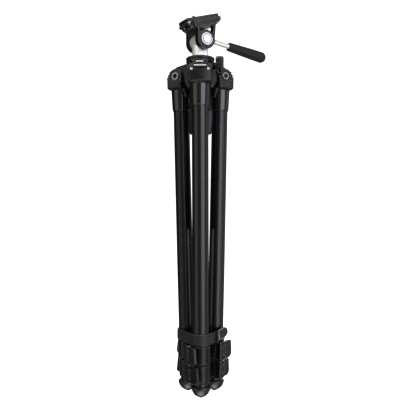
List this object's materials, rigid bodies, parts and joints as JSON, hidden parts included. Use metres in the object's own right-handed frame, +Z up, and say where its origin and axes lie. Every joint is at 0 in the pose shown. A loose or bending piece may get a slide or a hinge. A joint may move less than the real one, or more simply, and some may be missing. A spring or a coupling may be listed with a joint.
{
  "type": "folding tripod with pan head",
  "caption": "Folded flip-lock aluminium tripod with a pan and tilt head, quick-release plate, pan handle, centre column and a strap round the legs.",
  "frame": {"origin": "on the floor, under the axis of the centre column", "axes": "+Z up along the centre column, -Y towards the front leg, +X to the right of someone facing that leg"},
  "size_m": [0.1797, 0.1343, 0.6604],
  "materials": {
    "tube_black": "satin black anodised",
    "block_black": "fine textured black paint",
    "sleeve_black": "smooth black plastic",
    "clamp_black": "satin black plastic",
    "foot_rubber": "black rubber",
    "stop_chrome": "polished",
    "bolt_steel": "zinc plated",
    "head_black": "satin black casting",
    "post_silver": "satin machined",
    "cap_silver": "polished",
    "rod_silver": "polished",
    "grip_rubber": "matte black",
    "pad_rubber": "matte black",
    "screw_brass": "machined",
    "strap_fabric": "charcoal webbing",
    "axle_steel": "turned"
  },
  "bodies": {
    "crown": {"spider": "block_black", "column_guide_sleeve": "sleeve_black", "pivot_bolts": "bolt_steel", "pivot_nuts": "bolt_steel"},
    "column": {"centre_column": "tube_black", "column_platform": "head_black", "column_end_cap": "clamp_black"},
    "lock_knob": {"column_lock_knob": "clamp_black", "column_lock_screw": "bolt_steel"},
    "pan": {"pan_base": "head_black", "pan_post": "post_silver"},
    "tilt": {"head_yoke": "head_black", "tilt_axle": "axle_steel", "tilt_cap_near": "cap_silver", "tilt_cap_far": "cap_silver", "qr_lever_pin": "cap_silver", "qr_stop_pin": "bolt_steel"},
    "handle": {"handle_rod": "rod_silver", "handle_grip": "grip_rubber"},
    "release": {"qr_lever": "clamp_black"},
    "plate": {"qr_plate": "head_black", "qr_pad": "pad_rubber"},
    "screw": {"camera_screw": "screw_brass"},
    "leg_a": {"leg_a_hinge_block": "block_black", "leg_a_sleeve": "sleeve_black", "leg_a_upper_tube": "tube_black", "leg_a_upper_collar": "clamp_black"},
    "leg_a_stop": {"leg_a_angle_stop": "stop_chrome"},
    "leg_a_upper_clamp": {"leg_a_upper_lever": "clamp_black"},
    "leg_a_middle": {"leg_a_middle_tube": "tube_black", "leg_a_lower_collar": "clamp_black"},
    "leg_a_lower_clamp": {"leg_a_lower_lever": "clamp_black"},
    "leg_a_lower": {"leg_a_lower_tube": "tube_black", "leg_a_foot": "foot_rubber"},
    "leg_b": {"leg_b_hinge_block": "block_black", "leg_b_sleeve": "sleeve_black", "leg_b_upper_tube": "tube_black", "leg_b_upper_collar": "clamp_black", "leg_strap": "strap_fabric", "strap_buckle": "clamp_black"},
    "leg_b_stop": {"leg_b_angle_stop": "stop_chrome"},
    "leg_b_upper_clamp": {"leg_b_upper_lever": "clamp_black"},
    "leg_b_middle": {"leg_b_middle_tube": "tube_black", "leg_b_lower_collar": "clamp_black"},
    "leg_b_lower_clamp": {"leg_b_lower_lever": "clamp_black"},
    "leg_b_lower": {"leg_b_lower_tube": "tube_black", "leg_b_foot": "foot_rubber"},
    "leg_c": {"leg_c_hinge_block": "block_black", "leg_c_sleeve": "sleeve_black", "leg_c_upper_tube": "tube_black", "leg_c_upper_collar": "clamp_black"},
    "leg_c_stop": {"leg_c_angle_stop": "stop_chrome"},
    "leg_c_upper_clamp": {"leg_c_upper_lever": "clamp_black"},
    "leg_c_middle": {"leg_c_middle_tube": "tube_black", "leg_c_lower_collar": "clamp_black"},
    "leg_c_lower_clamp": {"leg_c_lower_lever": "clamp_black"},
    "leg_c_lower": {"leg_c_lower_tube": "tube_black", "leg_c_foot": "foot_rubber"}
  },
  "joints": [
    {"name": "column_slide", "type": "slide", "parent": "crown", "child": "column", "axis": [0, 0, 1], "range_m": [0, 0.2]},
    {"name": "lock_knob_turn", "type": "hinge", "parent": "crown", "child": "lock_knob", "pos_m": [0, 0, 0.5646], "axis": [0.866, -0.5, 0], "range_deg": [0, 300]},
    {"name": "pan_turn", "type": "hinge", "parent": "column", "child": "pan", "pos_m": [0, 0, 0.5793], "axis": [0, 0, 1], "continuous": true},
    {"name": "tilt_turn", "type": "hinge", "parent": "pan", "child": "tilt", "pos_m": [0, 0, 0.61], "axis": [0.5, -0.866, 0], "range_deg": [-22, 60]},
    {"name": "handle_twist", "type": "hinge", "parent": "tilt", "child": "handle", "pos_m": [0, 0, 0.6181], "axis": [0.8567, 0.4946, -0.1461], "range_deg": [0, 180]},
    {"name": "release_lever_swing", "type": "hinge", "parent": "tilt", "child": "release", "pos_m": [-0.01739, -0.02644, 0.63272], "axis": [-0.2532, -0.1462, 0.9563], "range_deg": [0, 70], "stiffness_Nm_per_rad": 0.02, "springref_deg": -11.46},
    {"name": "plate_slide", "type": "slide", "parent": "tilt", "child": "plate", "axis": [0.8282, 0.4782, 0.2924], "range_m": [0, 0.06]},
    {"name": "camera_screw_turn", "type": "hinge", "parent": "plate", "child": "screw", "pos_m": [-0.00886, -0.00512, 0.64347], "axis": [-0.2532, -0.1462, 0.9563], "continuous": true},
    {"name": "leg_a_spread", "type": "hinge", "parent": "crown", "child": "leg_a", "pos_m": [0, -0.0408, 0.552], "axis": [-1, 0, 0], "range_deg": [0, 78], "deforming": ["leg_strap"]},
    {"name": "leg_a_angle_stop_pull", "type": "slide", "parent": "leg_a", "child": "leg_a_stop", "axis": [0, -0.9997, -0.026], "range_m": [0, 0.004], "stiffness_N_per_m": 300, "springref_m": -0.003},
    {"name": "leg_a_upper_lever_flip", "type": "hinge", "parent": "leg_a", "child": "leg_a_upper_clamp", "pos_m": [-0.02, -0.03338, 0.07434], "axis": [0, 0.026, -0.9997], "range_deg": [0, 110]},
    {"name": "leg_a_middle_slide", "type": "slide", "parent": "leg_a", "child": "leg_a_middle", "axis": [0, 0.026, -0.9997], "range_m": [0, 0.36]},
    {"name": "leg_a_lower_lever_flip", "type": "hinge", "parent": "leg_a_middle", "child": "leg_a_lower_clamp", "pos_m": [-0.0185, -0.03203, 0.04137], "axis": [0, 0.026, -0.9997], "range_deg": [0, 110]},
    {"name": "leg_a_lower_slide", "type": "slide", "parent": "leg_a_middle", "child": "leg_a_lower", "axis": [0, 0.026, -0.9997], "range_m": [0, 0.36]},
    {"name": "leg_b_spread", "type": "hinge", "parent": "crown", "child": "leg_b", "pos_m": [0.03533, 0.0204, 0.552], "axis": [0.5, -0.866, 0], "range_deg": [0, 78], "deforming": ["leg_strap"]},
    {"name": "leg_b_angle_stop_pull", "type": "slide", "parent": "leg_b", "child": "leg_b_stop", "axis": [0.8657, 0.4998, -0.026], "range_m": [0, 0.004], "stiffness_N_per_m": 300, "springref_m": -0.003},
    {"name": "leg_b_upper_lever_flip", "type": "hinge", "parent": "leg_b", "child": "leg_b_upper_clamp", "pos_m": [0.03891, -0.00063, 0.07434], "axis": [-0.0225, -0.013, -0.9997], "range_deg": [0, 110]},
    {"name": "leg_b_middle_slide", "type": "slide", "parent": "leg_b", "child": "leg_b_middle", "axis": [-0.0225, -0.013, -0.9997], "range_m": [0, 0.36]},
    {"name": "leg_b_lower_lever_flip", "type": "hinge", "parent": "leg_b_middle", "child": "leg_b_lower_clamp", "pos_m": [0.03698, -0.00001, 0.04137], "axis": [-0.0225, -0.013, -0.9997], "range_deg": [0, 110]},
    {"name": "leg_b_lower_slide", "type": "slide", "parent": "leg_b_middle", "child": "leg_b_lower", "axis": [-0.0225, -0.013, -0.9997], "range_m": [0, 0.36]},
    {"name": "leg_c_spread", "type": "hinge", "parent": "crown", "child": "leg_c", "pos_m": [-0.03533, 0.0204, 0.552], "axis": [0.5, 0.866, 0], "range_deg": [0, 78], "deforming": ["leg_strap"]},
    {"name": "leg_c_angle_stop_pull", "type": "slide", "parent": "leg_c", "child": "leg_c_stop", "axis": [-0.8657, 0.4998, -0.026], "range_m": [0, 0.004], "stiffness_N_per_m": 300, "springref_m": -0.003},
    {"name": "leg_c_upper_lever_flip", "type": "hinge", "parent": "leg_c", "child": "leg_c_upper_clamp", "pos_m": [-0.01891, 0.03401, 0.07434], "axis": [0.0225, -0.013, -0.9997], "range_deg": [0, 110]},
    {"name": "leg_c_middle_slide", "type": "slide", "parent": "leg_c", "child": "leg_c_middle", "axis": [0.0225, -0.013, -0.9997], "range_m": [0, 0.36]},
    {"name": "leg_c_lower_lever_flip", "type": "hinge", "parent": "leg_c_middle", "child": "leg_c_lower_clamp", "pos_m": [-0.01848, 0.03203, 0.04137], "axis": [0.0225, -0.013, -0.9997], "range_deg": [0, 110]},
    {"name": "leg_c_lower_slide", "type": "slide", "parent": "leg_c_middle", "child": "leg_c_lower", "axis": [0.0225, -0.013, -0.9997], "range_m": [0, 0.36]}
  ]
}
